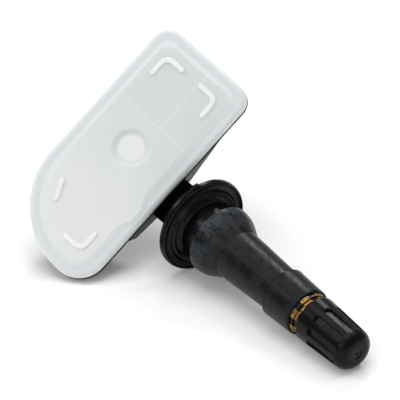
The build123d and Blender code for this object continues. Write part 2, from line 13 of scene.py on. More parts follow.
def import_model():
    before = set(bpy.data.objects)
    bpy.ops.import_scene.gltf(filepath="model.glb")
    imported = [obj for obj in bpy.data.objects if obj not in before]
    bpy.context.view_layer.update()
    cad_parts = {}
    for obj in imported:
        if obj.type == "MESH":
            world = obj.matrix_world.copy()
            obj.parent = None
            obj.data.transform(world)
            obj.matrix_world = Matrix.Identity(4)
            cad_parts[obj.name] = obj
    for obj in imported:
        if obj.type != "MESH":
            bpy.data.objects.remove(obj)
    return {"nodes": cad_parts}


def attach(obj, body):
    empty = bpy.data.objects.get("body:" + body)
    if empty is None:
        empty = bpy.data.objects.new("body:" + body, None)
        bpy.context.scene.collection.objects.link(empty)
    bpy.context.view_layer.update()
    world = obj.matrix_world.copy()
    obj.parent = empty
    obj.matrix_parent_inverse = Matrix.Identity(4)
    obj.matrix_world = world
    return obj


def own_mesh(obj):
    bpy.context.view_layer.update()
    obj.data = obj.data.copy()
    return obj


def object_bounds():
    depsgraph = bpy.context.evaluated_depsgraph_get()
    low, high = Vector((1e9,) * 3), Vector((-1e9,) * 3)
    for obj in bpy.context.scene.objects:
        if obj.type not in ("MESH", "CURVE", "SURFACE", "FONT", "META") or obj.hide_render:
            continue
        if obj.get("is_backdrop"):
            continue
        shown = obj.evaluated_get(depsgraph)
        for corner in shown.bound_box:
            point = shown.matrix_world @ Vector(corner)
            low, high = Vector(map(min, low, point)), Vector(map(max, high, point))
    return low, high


LOG = logging.getLogger("sensor_scene")
MM = 0.001

# Sockets of Blender's Mix node when it mixes colours, by number because several share a name.
SHARE = 0
FIRST = 6
SECOND = 7
MIXED = 2

# Blender's wave texture turns through this many radians over one unit of its scaled coordinates.
WAVE_RADIANS = 20.0

# A place in millimetres that lies before the whole part, for what has no start or end on it.
BEFORE_ALL = -100.0

ROUNDED_EDGE_SAMPLES = 4
SMOOTH_BELOW_DEGREES = 35


class Body(Enum):
    """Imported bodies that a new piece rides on."""

    SENSOR = "sensor"
    CAP = "cap"


class Space(Enum):
    """Drawing spaces that a pattern or a piece is laid out in."""

    STEM = "stem"
    LID = "lid"


@dataclass(frozen=True)
class Lie:
    """How the part lies on the table, as turns in degrees and lengths in millimetres.

    Along the stem, +X runs to the cap from the flange's sealing face. The lid's own space has X across the
    lid to the stem's side, Y along it to the short end and Z out of it.
    """

    drop: float = 6.8603
    roll: float = 37.7209
    lid_setback: float = 7.3
    lid_height: float = 6.0
    lid_tilt: float = 26.0

    def matrix(self, space: Space) -> Matrix:
        """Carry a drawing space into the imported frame.

        Args:
            space: the space that is drawn in.

        Returns:
            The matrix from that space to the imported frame, both in metres.
        """
        drop = Matrix.Rotation(math.radians(self.drop), 4, "Y")
        stem = drop @ Matrix.Rotation(math.radians(self.roll), 4, "X")
        if space is Space.STEM:
            return stem
        place = Matrix.Translation(Vector((-self.lid_setback, 0, self.lid_height)) * MM)
        return stem @ place @ Matrix.Rotation(math.radians(self.lid_tilt), 4, "Y")


LIE = Lie()


def linear(code: str) -> tuple[float, float, float, float]:
    """Turn an sRGB hex colour into the linear values that a shader takes.

    Args:
        code: the colour as "#rrggbb".

    Returns:
        Red, green and blue as linear values, and an alpha of 1.
    """
    parts = [int(code[i : i + 2], 16) / 255 for i in (1, 3, 5)]
    red, green, blue = (c / 12.92 if c <= 0.04045 else ((c + 0.055) / 1.055) ** 2.4 for c in parts)
    return red, green, blue, 1.0


def per_mm(size: float) -> float:
    """Scale of a texture whose features are this many millimetres across."""
    return 1 / (size * MM)


def wave_scale(spacing: float) -> float:
    """Scale of a wave texture whose bands lie this many millimetres apart."""
    return 2 * math.pi / WAVE_RADIANS * per_mm(spacing)


def add_node(tree: Any, kind: str, inputs: dict[Any, Any] | None = None, **settings: Any) -> Any:
    """Add one shader node with its settings, values and links.

    Args:
        tree: the node tree that the node goes into.
        kind: the node's type name.
        inputs: values or linked output sockets for its inputs, by name or number.
        settings: the node's own properties.

    Returns:
        The new node.
    """
    node = tree.nodes.new(kind)
    for name, value in settings.items():
        setattr(node, name, value)
    for key, value in (inputs or {}).items():
        if isinstance(value, bpy.types.NodeSocket):
            tree.links.new(value, node.inputs[key])
        else:
            node.inputs[key].default_value = value
    return node


@dataclass(frozen=True)
class Finish:
    """What one material is made of and how its surface was made.

    The edge is the radius in millimetres to which sharp corners look rounded.
    """

    name: str
    colour: str
    roughness: float = 0.5
    metallic: float = 0.0
    ior: float = 1.5
    specular: float = 0.5
    space: Space = Space.STEM
    edge: float = 0.1

    def start(self) -> tuple[bpy.types.Material, Any, Any]:
        """Make an empty material with coordinates in the finish's own space.

        Returns:
            The material, its node tree and the output socket of the coordinates, in metres.
        """
        material = bpy.data.materials.new(self.name)
        material.use_nodes = True
        tree = material.node_tree
        tree.nodes.clear()
        back = LIE.matrix(self.space).inverted()
        place = add_node(tree, "ShaderNodeTexCoord")
        turned = add_node(
            tree,
            "ShaderNodeMapping",
            {
                "Vector": place.outputs["Object"],
                "Location": back.to_translation(),
                "Rotation": back.to_euler("XYZ"),
            },
        )
        return material, tree, turned.outputs["Vector"]

    def relief(self, tree: Any, height: Any, strength: float, depth: float) -> Any:
        """Raise the surface by a pattern, over edges that are rounded by the finish's edge radius.

        Args:
            tree: the material's node tree.
            height: the socket of the pattern.
            strength: how much of the relief shows.
            depth: its depth in millimetres.

        Returns:
            The socket of the surface's direction.
        """
        rounded = add_node(
            tree, "ShaderNodeBevel", {"Radius": self.edge * MM}, samples=ROUNDED_EDGE_SAMPLES
        )
        raised = add_node(
            tree,
            "ShaderNodeBump",
            {
                "Strength": strength,
                "Distance": depth * MM,
                "Height": height,
                "Normal": rounded.outputs["Normal"],
            },
        )
        return raised.outputs["Normal"]

    def close(self, tree: Any, **inputs: Any) -> None:
        """End a material in its shader and output.

        Args:
            tree: the material's node tree.
            inputs: values or sockets of the shader, with spaces in their names written as underscores.
        """
        values = {
            "Base Color": linear(self.colour),
            "Roughness": self.roughness,
            "Metallic": self.metallic,
            "IOR": self.ior,
            "Specular IOR Level": self.specular,
        }
        values.update({name.replace("_", " "): value for name, value in inputs.items()})
        shader = add_node(tree, "ShaderNodeBsdfPrincipled", values)
        add_node(tree, "ShaderNodeOutputMaterial", {"Surface": shader.outputs["BSDF"]})

    def build(self) -> bpy.types.Material:
        """Make the material, which each kind of finish does in its own way."""
        raise NotImplementedError


@dataclass(frozen=True)
class BloomedRubber(Finish):
    """Moulded black rubber with the dusty grey bloom of wax that has come to its surface.

    It looks nearly black where it is rubbed clean, and a blotchy blue-grey where the bloom lies. Flange and
    neck stay clean and shinier. The bloom sets in beyond them, is thickest on the bulb and thins out along
    the shank. The grain is drawn as coarse as it needs to be to show. Places and sizes are in millimetres,
    and ranges are of the noise that they are read from.
    """

    clean_roughness: float = 0.25
    uneven_gloss: float = 0.12
    gloss_range: tuple[float, float] = (0.35, 0.65)
    bloom: str = "#525960"
    bloom_amount: float = 0.95
    bloom_start: float = 4.4
    bloom_ramp: float = 0.4
    bloom_end: float = 5.4
    fade_length: float = 6.0
    shank_share: float = 0.22
    blotch: float = 2.6
    blotch_range: tuple[float, float] = (0.32, 0.72)
    speck: float = 0.45
    speck_range: tuple[float, float] = (0.3, 0.7)
    between_specks: float = 0.15
    grain: float = 0.16
    relief_strength: float = 0.35
    relief_depth: float = 0.03

    def build(self) -> bpy.types.Material:
        """Make the material.

        Returns:
            The material.
        """
        material, tree, at = self.start()
        split = add_node(tree, "ShaderNodeSeparateXYZ", {"Vector": at})
        blotches = add_node(
            tree,
            "ShaderNodeTexNoise",
            {"Vector": at, "Scale": per_mm(self.blotch), "Detail": 8.0, "Roughness": 0.7},
        )
        specks = add_node(
            tree, "ShaderNodeTexNoise", {"Vector": at, "Scale": per_mm(self.speck), "Detail": 3.0}
        )
        patch = add_node(
            tree,
            "ShaderNodeMapRange",
            {
                "Value": blotches.outputs["Fac"],
                "From Min": self.blotch_range[0],
                "From Max": self.blotch_range[1],
            },
            interpolation_type="SMOOTHSTEP",
        )
        dotted = add_node(
            tree,
            "ShaderNodeMapRange",
            {
                "Value": specks.outputs["Fac"],
                "From Min": self.speck_range[0],
                "From Max": self.speck_range[1],
                "To Min": self.between_specks,
                "To Max": 1.0,
            },
        )
        reach = add_node(
            tree,
            "ShaderNodeMapRange",
            {
                "Value": split.outputs["X"],
                "From Min": self.bloom_start * MM,
                "From Max": (self.bloom_start + self.bloom_ramp) * MM,
                "To Min": 0.0,
                "To Max": 1.0,
            },
            interpolation_type="SMOOTHSTEP",
        )
        fade = add_node(
            tree,
            "ShaderNodeMapRange",
            {
                "Value": split.outputs["X"],
                "From Min": self.bloom_end * MM,
                "From Max": (self.bloom_end + self.fade_length) * MM,
                "To Min": 1.0,
                "To Max": self.shank_share,
            },
            interpolation_type="SMOOTHSTEP",
        )
        shown = patch.outputs["Result"]
        limits = [limit.outputs["Result"] for limit in (dotted, reach, fade)]
        for share in (*limits, self.bloom_amount):
            both = add_node(tree, "ShaderNodeMath", {0: shown, 1: share}, operation="MULTIPLY")
            shown = both.outputs["Value"]
        colour = add_node(
            tree,
            "ShaderNodeMix",
            {SHARE: shown, FIRST: linear(self.colour), SECOND: linear(self.bloom)},
            data_type="RGBA",
        )
        worn = add_node(
            tree,
            "ShaderNodeMapRange",
            {
                "Value": blotches.outputs["Fac"],
                "From Min": self.gloss_range[0],
                "From Max": self.gloss_range[1],
                "To Min": self.roughness - self.uneven_gloss,
                "To Max": self.roughness + self.uneven_gloss,
            },
        )
        rough = add_node(
            tree,
            "ShaderNodeMapRange",
            {
                "Value": reach.outputs["Result"],
                "To Min": self.clean_roughness,
                "To Max": worn.outputs["Result"],
            },
        )
        grains = add_node(
            tree, "ShaderNodeTexNoise", {"Vector": at, "Scale": per_mm(self.grain), "Detail": 2.0}
        )
        height = add_node(
            tree,
            "ShaderNodeMath",
            {0: grains.outputs["Fac"], 1: blotches.outputs["Fac"]},
            operation="ADD",
        )
        self.close(
            tree,
            Base_Color=colour.outputs[MIXED],
            Roughness=rough.outputs["Result"],
            Normal=self.relief(tree, height.outputs["Value"], self.relief_strength, self.relief_depth),
        )
        return material


@dataclass(frozen=True)
class MouldedPlastic(Finish):
    """Moulded plastic with the even grain of a spark-eroded mould and slightly uneven gloss.

    The grain is drawn coarser than such a mould leaves it, so that it shows.
    """

    grain: float = 0.14
    grain_strength: float = 0.4
    grain_depth: float = 0.02
    cloud: float = 5.0
    tint: str = "#26282a"
    tint_amount: float = 0.6
    tint_range: tuple[float, float] = (0.35, 0.7)
    uneven_gloss: float = 0.05
    gloss_range: tuple[float, float] = (0.3, 0.7)

    def tone(self, tree: Any, clouds: Any) -> tuple[Any, Any]:
        """Work out where the plastic is paler and where it is duller.

        Args:
            tree: the material's node tree.
            clouds: the noise node of the cloudy patches.

        Returns:
            The sockets of the colour and of the roughness.
        """
        cover = add_node(
            tree,
            "ShaderNodeMapRange",
            {
                "Value": clouds.outputs["Fac"],
                "From Min": self.tint_range[0],
                "From Max": self.tint_range[1],
                "To Max": self.tint_amount,
            },
            interpolation_type="SMOOTHSTEP",
        )
        colour = add_node(
            tree,
            "ShaderNodeMix",
            {SHARE: cover.outputs["Result"], FIRST: linear(self.colour), SECOND: linear(self.tint)},
            data_type="RGBA",
        )
        rough = add_node(
            tree,
            "ShaderNodeMapRange",
            {
                "Value": clouds.outputs["Fac"],
                "From Min": self.gloss_range[0],
                "From Max": self.gloss_range[1],
                "To Min": self.roughness - self.uneven_gloss,
                "To Max": self.roughness + self.uneven_gloss,
            },
        )
        return colour.outputs[MIXED], rough.outputs["Result"]

    def build(self) -> bpy.types.Material:
        """Make the material.

        Returns:
            The material.
        """
        material, tree, at = self.start()
        clouds = add_node(
            tree,
            "ShaderNodeTexNoise",
            {"Vector": at, "Scale": per_mm(self.cloud), "Detail": 4.0, "Roughness": 0.6},
        )
        grains = add_node(
            tree, "ShaderNodeTexNoise", {"Vector": at, "Scale": per_mm(self.grain), "Detail": 2.0}
        )
        colour, rough = self.tone(tree, clouds)
        surface = self.relief(tree, grains.outputs["Fac"], self.grain_strength, self.grain_depth)
        self.close(tree, Base_Color=colour, Roughness=rough, Normal=surface)
        return material


@dataclass(frozen=True)
class MilkyLid(Finish):
    """Natural, unpigmented polyester moulded in a thin plate: milky, with light scattered inside it.

    Its colour holds painted light and shade. Towards the short end, where the dark housing lies close
    behind, it is painted a little greyer and greener as painted shade, and the slope and flat band around
    the plateau are painted a cooler grey as painted shade. The raised ribs are painted white as a painted
    highlight, the plate's outer edge pure white as a painted glow, and the dimple's middle paler as painted
    light. Where the stiffeners inside the housing show through, pale lines are painted as painted light.
    The grain is drawn as coarse as it needs to be to show. Places and sizes are in millimetres. The slope's
    end and the plateau's start are shares of the plateau's height, and the pool's core and rim are shares
    of its radius.
    """

    warm: str = "#e9ebe9"
    # Painted shade: this greyer, greener tone stands in for the dark housing showing through the plate
    # towards the short end.
    cool: str = "#dbe2de"
    cool_range: tuple[float, float] = (-12.0, 18.0)
    cool_wander: float = 10.0
    # Painted shade: the slope and the flat band around the plateau are painted a cooler grey than the
    # plateau.
    slope: str = "#e5ebec"
    slope_end: float = 0.3
    band: str = "#dee4e5"
    # Painted glow: the plate's outer edge is painted pure white, as if light came through it.
    painted_edge_glow: str = "#ffffff"
    edge_top: float = -0.1
    edge_foot: float = -0.6
    # Painted highlight: the rib tops are painted whiter than the plateau.
    rib_highlight: str = "#f3f7f4"
    rib_foot: float = 0.02
    rib_top: float = 0.08
    # Painted light: pale lines painted where the stiffeners inside show through the plate.
    line: str = "#f3f5f3"
    line_amount: float = 0.24
    line_width: float = 0.5
    cross_line: float = 8.3
    long_line: float = -9.8
    cloud: float = 6.0
    grain: float = 0.3
    grain_strength: float = 0.2
    grain_depth: float = 0.02
    plateau: float = 0.3
    plateau_start: float = 0.6
    # Painted light: the dimple's middle is painted paler than the plateau.
    pool: str = "#f2f5f2"
    dimple: tuple[float, float] = (-11.4, 1.9)
    dimple_radius: float = 4.2
    pool_radius: float = 2.8
    pool_core: float = 0.8
    pool_rim: float = 1.1
    scatter: float = 2.4
    scatter_share: float = 0.6
    scatter_reach: tuple[float, float, float] = (1.0, 1.0, 0.95)

    def plate(self, tree: Any, at: Any, split: Any) -> Any:
        """Colour the plateau: painted shade greyer towards the short end, and painted pale lines where the
        stiffeners show through.

        Args:
            tree: the material's node tree.
            at: the socket of the coordinates.
            split: the node that gives the coordinates one by one.

        Returns:
            The socket of the colour.
        """
        clouds = add_node(
            tree,
            "ShaderNodeTexNoise",
            {"Vector": at, "Scale": per_mm(self.cloud), "Detail": 5.0, "Roughness": 0.6},
        )
        wander = add_node(
            tree,
            "ShaderNodeMath",
            {0: clouds.outputs["Fac"], 1: self.cool_wander * MM, 2: split.outputs["Y"]},
            operation="MULTIPLY_ADD",
        )
        # Painted shade: share of the greyer tone, growing towards the short end with a cloudy wander.
        upper = add_node(
            tree,
            "ShaderNodeMapRange",
            {
                "Value": wander.outputs["Value"],
                "From Min": self.cool_range[0] * MM,
                "From Max": self.cool_range[1] * MM,
            },
            interpolation_type="SMOOTHSTEP",
        )
        lined = add_node(
            tree,
            "ShaderNodeMix",
            {SHARE: upper.outputs["Result"], FIRST: linear(self.warm), SECOND: linear(self.cool)},
            data_type="RGBA",
        )
        # Painted light: a pale line is painted along each stiffener that shows through the plate.
        stiffeners = (("Y", self.cross_line, BEFORE_ALL), ("X", self.long_line, self.cross_line))
        for axis, place, start in stiffeners:
            off = add_node(
                tree, "ShaderNodeMath", {0: split.outputs[axis], 1: place * MM}, operation="SUBTRACT"
            )
            away = add_node(tree, "ShaderNodeMath", {0: off.outputs["Value"]}, operation="ABSOLUTE")
            near = add_node(
                tree,
                "ShaderNodeMapRange",
                {
                    "Value": away.outputs["Value"],
                    "From Max": self.line_width * MM,
                    "To Min": self.line_amount,
                    "To Max": 0.0,
                },
                interpolation_type="SMOOTHSTEP",
            )
            begun = add_node(
                tree, "ShaderNodeMath", {0: split.outputs["Y"], 1: start * MM}, operation="GREATER_THAN"
            )
            shown = add_node(
                tree,
                "ShaderNodeMath",
                {0: near.outputs["Result"], 1: begun.outputs["Value"]},
                operation="MULTIPLY",
            )
            lined = add_node(
                tree,
                "ShaderNodeMix",
                {SHARE: shown.outputs["Value"], FIRST: lined.outputs[MIXED], SECOND: linear(self.line)},
                data_type="RGBA",
            )
        return lined.outputs[MIXED]

    def border(self, tree: Any, split: Any) -> Any:
        """Colour what lies around the plateau: painted shade on its slope and flat band, and a painted
        white glow on the plate's outer edge.

        Args:
            tree: the material's node tree.
            split: the node that gives the coordinates one by one.

        Returns:
            The socket of the colour.
        """
        # Painted shade: the band is painted greyer, turning to the slope's grey as the slope climbs.
        climbing = add_node(
            tree,
            "ShaderNodeMapRange",
            {"Value": split.outputs["Z"], "From Max": self.slope_end * self.plateau * MM},
            interpolation_type="SMOOTHSTEP",
        )
        edged = add_node(
            tree,
            "ShaderNodeMix",
            {SHARE: climbing.outputs["Result"], FIRST: linear(self.band), SECOND: linear(self.slope)},
            data_type="RGBA",
        )
        # Painted glow: the outer edge below the top turns pure white.
        turned = add_node(
            tree,
            "ShaderNodeMapRange",
            {
                "Value": split.outputs["Z"],
                "From Min": self.edge_foot * MM,
                "From Max": self.edge_top * MM,
                "To Min": 1.0,
                "To Max": 0.0,
            },
        )
        rimmed = add_node(
            tree,
            "ShaderNodeMix",
            {SHARE: turned.outputs["Result"], FIRST: edged.outputs[MIXED], SECOND: linear(self.painted_edge_glow)},
            data_type="RGBA",
        )
        return rimmed.outputs[MIXED]

    def build(self) -> bpy.types.Material:
        """Make the material.

        Returns:
            The material.
        """
        material, tree, at = self.start()
        split = add_node(tree, "ShaderNodeSeparateXYZ", {"Vector": at})
        raised = add_node(
            tree,
            "ShaderNodeMapRange",
            {
                "Value": split.outputs["Z"],
                "From Min": self.plateau_start * self.plateau * MM,
                "From Max": self.plateau * MM,
            },
            interpolation_type="SMOOTHSTEP",
        )
        middle = (self.dimple[0] * MM, self.dimple[1] * MM, 0)
        to_dimple = add_node(tree, "ShaderNodeVectorMath", {0: at, 1: middle}, operation="DISTANCE")
        in_dimple = add_node(
            tree,
            "ShaderNodeMath",
            {0: to_dimple.outputs["Value"], 1: self.dimple_radius * MM},
            operation="LESS_THAN",
        )
        inside = add_node(
            tree,
            "ShaderNodeMath",
            {0: raised.outputs["Result"], 1: in_dimple.outputs["Value"]},
            operation="MAXIMUM",
        )
        whole = add_node(
            tree,
            "ShaderNodeMix",
            {
                SHARE: inside.outputs["Value"],
                FIRST: self.border(tree, split),
                SECOND: self.plate(tree, at, split),
            },
            data_type="RGBA",
        )
        # Painted light: the dimple's middle fades to a paler tone.
        pool = add_node(
            tree,
            "ShaderNodeMapRange",
            {
                "Value": to_dimple.outputs["Value"],
                "From Min": self.pool_core * self.pool_radius * MM,
                "From Max": self.pool_rim * self.pool_radius * MM,
                "To Min": 1.0,
                "To Max": 0.0,
            },
            interpolation_type="SMOOTHSTEP",
        )
        pooled = add_node(
            tree,
            "ShaderNodeMix",
            {SHARE: pool.outputs["Result"], FIRST: whole.outputs[MIXED], SECOND: linear(self.pool)},
            data_type="RGBA",
        )
        # Painted highlight: the rib tops turn whiter.
        on_rib_highlight = add_node(
            tree,
            "ShaderNodeMapRange",
            {
                "Value": split.outputs["Z"],
                "From Min": (self.plateau + self.rib_foot) * MM,
                "From Max": (self.plateau + self.rib_top) * MM,
            },
        )
        colour = add_node(
            tree,
            "ShaderNodeMix",
            {SHARE: on_rib_highlight.outputs["Result"], FIRST: pooled.outputs[MIXED], SECOND: linear(self.rib_highlight)},
            data_type="RGBA",
        )
        grains = add_node(
            tree, "ShaderNodeTexNoise", {"Vector": at, "Scale": per_mm(self.grain), "Detail": 2.0}
        )
        self.close(
            tree,
            Base_Color=colour.outputs[MIXED],
            Subsurface_Weight=self.scatter_share,
            Subsurface_Radius=self.scatter_reach,
            Subsurface_Scale=self.scatter * MM,
            Normal=self.relief(tree, grains.outputs["Fac"], self.grain_strength, self.grain_depth),
        )
        return material


@dataclass(frozen=True)
class TurnedMetal(Finish):
    """Metal turned on a lathe: rings about the stem, and a little tarnish in cloudy patches.

    Up to a place along the stem, it can be painted dark brown all over, as painted shade where the brass
    lies hidden behind the flange. The rings lie far wider apart than a lathe leaves them, so that they
    show. Places and sizes are in millimetres.
    """

    tarnish: str = "#8a6a2c"
    tarnish_amount: float = 0.35
    tarnish_range: tuple[float, float] = (0.45, 0.75)
    cloud: float = 1.6
    gloss_range: tuple[float, float] = (0.35, 0.75)
    polished: float = 0.05
    dulled: float = 0.15
    ring_spacing: float = 1.3823
    ring_wobble: float = 0.6
    ring_strength: float = 0.25
    ring_depth: float = 0.01
    # Painted shade: up to a place along the stem the brass is painted dark brown, where it lies hidden
    # behind the flange.
    brown: str = "#2a2015"
    brown_end: float = BEFORE_ALL

    def build(self) -> bpy.types.Material:
        """Make the material.

        Returns:
            The material.
        """
        material, tree, at = self.start()
        clouds = add_node(
            tree, "ShaderNodeTexNoise", {"Vector": at, "Scale": per_mm(self.cloud), "Detail": 5.0}
        )
        cover = add_node(
            tree,
            "ShaderNodeMapRange",
            {
                "Value": clouds.outputs["Fac"],
                "From Min": self.tarnish_range[0],
                "From Max": self.tarnish_range[1],
                "To Max": self.tarnish_amount,
            },
            interpolation_type="SMOOTHSTEP",
        )
        colour = add_node(
            tree,
            "ShaderNodeMix",
            {SHARE: cover.outputs["Result"], FIRST: linear(self.colour), SECOND: linear(self.tarnish)},
            data_type="RGBA",
        )
        split = add_node(tree, "ShaderNodeSeparateXYZ", {"Vector": at})
        # Painted shade: dark brown up to a place along the stem, where the brass lies in shade behind the
        # flange.
        in_shade = add_node(
            tree, "ShaderNodeMath", {0: split.outputs["X"], 1: self.brown_end * MM}, operation="LESS_THAN"
        )
        shaded_colour = add_node(
            tree,
            "ShaderNodeMix",
            {SHARE: in_shade.outputs["Value"], FIRST: colour.outputs[MIXED], SECOND: linear(self.brown)},
            data_type="RGBA",
        )
        rough = add_node(
            tree,
            "ShaderNodeMapRange",
            {
                "Value": clouds.outputs["Fac"],
                "From Min": self.gloss_range[0],
                "From Max": self.gloss_range[1],
                "To Min": self.roughness - self.polished,
                "To Max": self.roughness + self.dulled,
            },
        )
        rings = add_node(
            tree,
            "ShaderNodeTexWave",
            {
                "Vector": at,
                "Scale": wave_scale(self.ring_spacing),
                "Distortion": self.ring_wobble,
                "Detail": 1.0,
            },
            bands_direction="X",
        )
        self.close(
            tree,
            Base_Color=shaded_colour.outputs[MIXED],
            Roughness=rough.outputs["Result"],
            Normal=self.relief(tree, rings.outputs["Fac"], self.ring_strength, self.ring_depth),
        )
        return material


@dataclass(frozen=True)
class WovenBoard(Finish):
    """Glass-cloth circuit board under solder mask: the weave shows faintly through the green."""

    weave: float = 0.5
    weave_strength: float = 0.2
    weave_depth: float = 0.02
    light: str = "#2c7a4b"

    def build(self) -> bpy.types.Material:
        """Make the material.

        Returns:
            The material.
        """
        material, tree, at = self.start()
        cloth = add_node(
            tree,
            "ShaderNodeTexChecker",
            {
                "Vector": at,
                "Scale": per_mm(self.weave),
                "Color1": linear(self.colour),
                "Color2": linear(self.light),
            },
        )
        self.close(
            tree,
            Base_Color=cloth.outputs["Color"],
            Normal=self.relief(tree, cloth.outputs["Fac"], self.weave_strength, self.weave_depth),
        )
        return material


@dataclass(frozen=True)
class WoundCoil(Finish):
    """Enamelled copper wire wound side by side on a ferrite bar.

    Its turns are drawn many times wider than the real wire, so that they would show.
    """

    enamel: str = "#7a3a1c"
    turn_spacing: float = 1.2566
    turn_strength: float = 0.6
    turn_depth: float = 0.05

    def build(self) -> bpy.types.Material:
        """Make the material.

        Returns:
            The material.
        """
        material, tree, at = self.start()
        turns = add_node(
            tree,
            "ShaderNodeTexWave",
            {"Vector": at, "Scale": wave_scale(self.turn_spacing)},
            bands_direction="Y",
        )
        colour = add_node(
            tree,
            "ShaderNodeMix",
            {SHARE: turns.outputs["Fac"], FIRST: linear(self.enamel), SECOND: linear(self.colour)},
            data_type="RGBA",
        )
        self.close(
            tree,
            Base_Color=colour.outputs[MIXED],
            Normal=self.relief(tree, turns.outputs["Fac"], self.turn_strength, self.turn_depth),
        )
        return material


# Moulded synthetic rubber: black, dusted blue-grey on the bulb, with a soft gleam along the shank.
RUBBER = BloomedRubber("bloomed_rubber", "#050607", roughness=0.36, ior=1.52, specular=0.15, edge=0.12)
# Rubber of the small seals: dark grey and dull, with hardly any dust.
SEAL_RUBBER = BloomedRubber(
    "seal_rubber", "#1b1b1c", roughness=0.5, ior=1.52, specular=0.2, bloom_amount=0.3
)
# Moulded polypropylene: black, with a smooth soft gloss that runs over well rounded edges.
CAP_PLASTIC = MouldedPlastic(
    "cap_polypropylene", "#050506", roughness=0.26, ior=1.49, specular=0.14, edge=0.35, tint="#08080a"
)
# Moulded polyester of the housing: black and fairly matt, a little greyer in faint clouds.
HOUSING_PLASTIC = MouldedPlastic(
    "housing_polyester",
    "#070708",
    roughness=0.4,
    ior=1.57,
    specular=0.16,
    space=Space.LID,
    edge=0.2,
    tint="#0c0c0d",
)
# Moulded polyester with no pigment: milky white with a satin sheen, its thin edge painted white as a
# painted glow.
LID_PLASTIC = MilkyLid(
    "milky_lid_polyester", "#e4e7e4", roughness=0.38, ior=1.55, specular=0.4, space=Space.LID
)
# Brass from the rubber's mould: dull gold at the crown, with dark spots, and painted dark brown behind the
# flange as painted shade.
STEM_BRASS = TurnedMetal(
    "bonded_brass",
    "#b08e52",
    roughness=0.34,
    metallic=1.0,
    tarnish="#1d160d",
    tarnish_amount=0.95,
    cloud=0.6,
    brown_end=1.0,
)
# Clean turned brass of the thread and the valve core: warm gold with faint rings.
BRASS = TurnedMetal("turned_brass", "#c99a3e", roughness=0.28, metallic=1.0)
# Nickel on turned brass: warm silver, a little clouded.
PLATED = TurnedMetal("nickel_plated_brass", "#c9c4b8", roughness=0.25, metallic=1.0, tarnish="#9b958a")
# Zinc on a steel screw: cool silver-grey.
STEEL = TurnedMetal("zinc_plated_steel", "#b9bcbf", roughness=0.3, metallic=1.0, tarnish="#8e9296")
# Drawn spring wire: darker steel grey.
SPRING_STEEL = TurnedMetal("spring_steel", "#8f9296", roughness=0.3, metallic=1.0, tarnish="#6c6f73")
# Pressed stainless cans of the cell and the crystal: bright, even silver.
CELL_STEEL = TurnedMetal(
    "cell_stainless_steel", "#c4c6c8", roughness=0.24, metallic=1.0, tarnish="#a9acb0", space=Space.LID
)
# Rolled nickel strip of the cell's tabs: slightly yellow silver, duller than the can.
TAB_NICKEL = TurnedMetal(
    "tab_nickel", "#b8b6ad", roughness=0.34, metallic=1.0, tarnish="#97958d", space=Space.LID
)
# Tinned copper of the antenna: silver with faint coppery patches.
TINNED = TurnedMetal(
    "tinned_copper", "#b9b5ab", roughness=0.3, metallic=1.0, tarnish="#a58a66", space=Space.LID
)
# Solder mask over glass cloth: deep green with a faint woven grid.
BOARD = WovenBoard("solder_mask_on_glass_cloth", "#1f6440", roughness=0.38, space=Space.LID)
# Polyester that melted and set again: a dead black line with no sheen, which also stands as painted shade
# in the gap under the lid's edge.
MELTED_AND_SHADE = MouldedPlastic(
    "melted_polyester_and_painted_shade", "#050505", roughness=0.9, specular=0.0, space=Space.LID, tint="#080808"
)
# Moulded epoxy of the pressure chip: matt charcoal.
CHIP = MouldedPlastic("moulded_epoxy", "#1b1b1d", roughness=0.55, space=Space.LID, tint="#29292b")
# Fired ceramic of the chip resistors and capacitors: matt tan.
CERAMIC = MouldedPlastic("chip_ceramic", "#8d7354", roughness=0.5, space=Space.LID, tint="#a58c6a")
# Moulded silicone: pale grey and hardly glossy.
SILICONE = MouldedPlastic(
    "silicone_seal", "#8f9497", roughness=0.55, ior=1.41, space=Space.LID, tint="#a3a8ab"
)
# Porous membrane of the air port: chalky white with no gloss.
MEMBRANE = MouldedPlastic(
    "porous_membrane", "#d9dbd9", roughness=0.8, ior=1.35, space=Space.LID, tint="#c6c9c8", grain=0.2
)
# Enamelled copper wire: reddish brown, striped by its turns.
COIL = WoundCoil("wound_copper", "#b8642e", roughness=0.35, space=Space.LID)


def only(piece: bpy.types.Object) -> None:
    """Select one object alone and make it the active one.

    Args:
        piece: the object to select.
    """
    bpy.ops.object.select_all(action="DESELECT")
    piece.select_set(True)
    bpy.context.view_layer.objects.active = piece


def settle(
    piece: bpy.types.Object, name: str, space: Space, body: Body, finish: bpy.types.Material
) -> bpy.types.Object:
    """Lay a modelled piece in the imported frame, with its place in its mesh, dress it and let it ride.

    Args:
        piece: the modelled object, drawn in its own space.
        name: the piece's name.
        space: the space that it is drawn in.
        body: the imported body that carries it.
        finish: its material.

    Returns:
        The finished piece.
    """
    only(piece)
    piece.name = name
    piece.data.name = name
    piece.matrix_world = LIE.matrix(space) @ piece.matrix_world
    bpy.ops.object.transform_apply(location=True, rotation=True, scale=True)
    bpy.ops.object.shade_smooth_by_angle(angle=math.radians(SMOOTH_BELOW_DEGREES))
    piece.data.materials.clear()
    piece.data.materials.append(finish)
    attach(piece, body.value)
    LOG.info("%s: %d faces on %s", name, len(piece.data.polygons), body.value)
    return piece


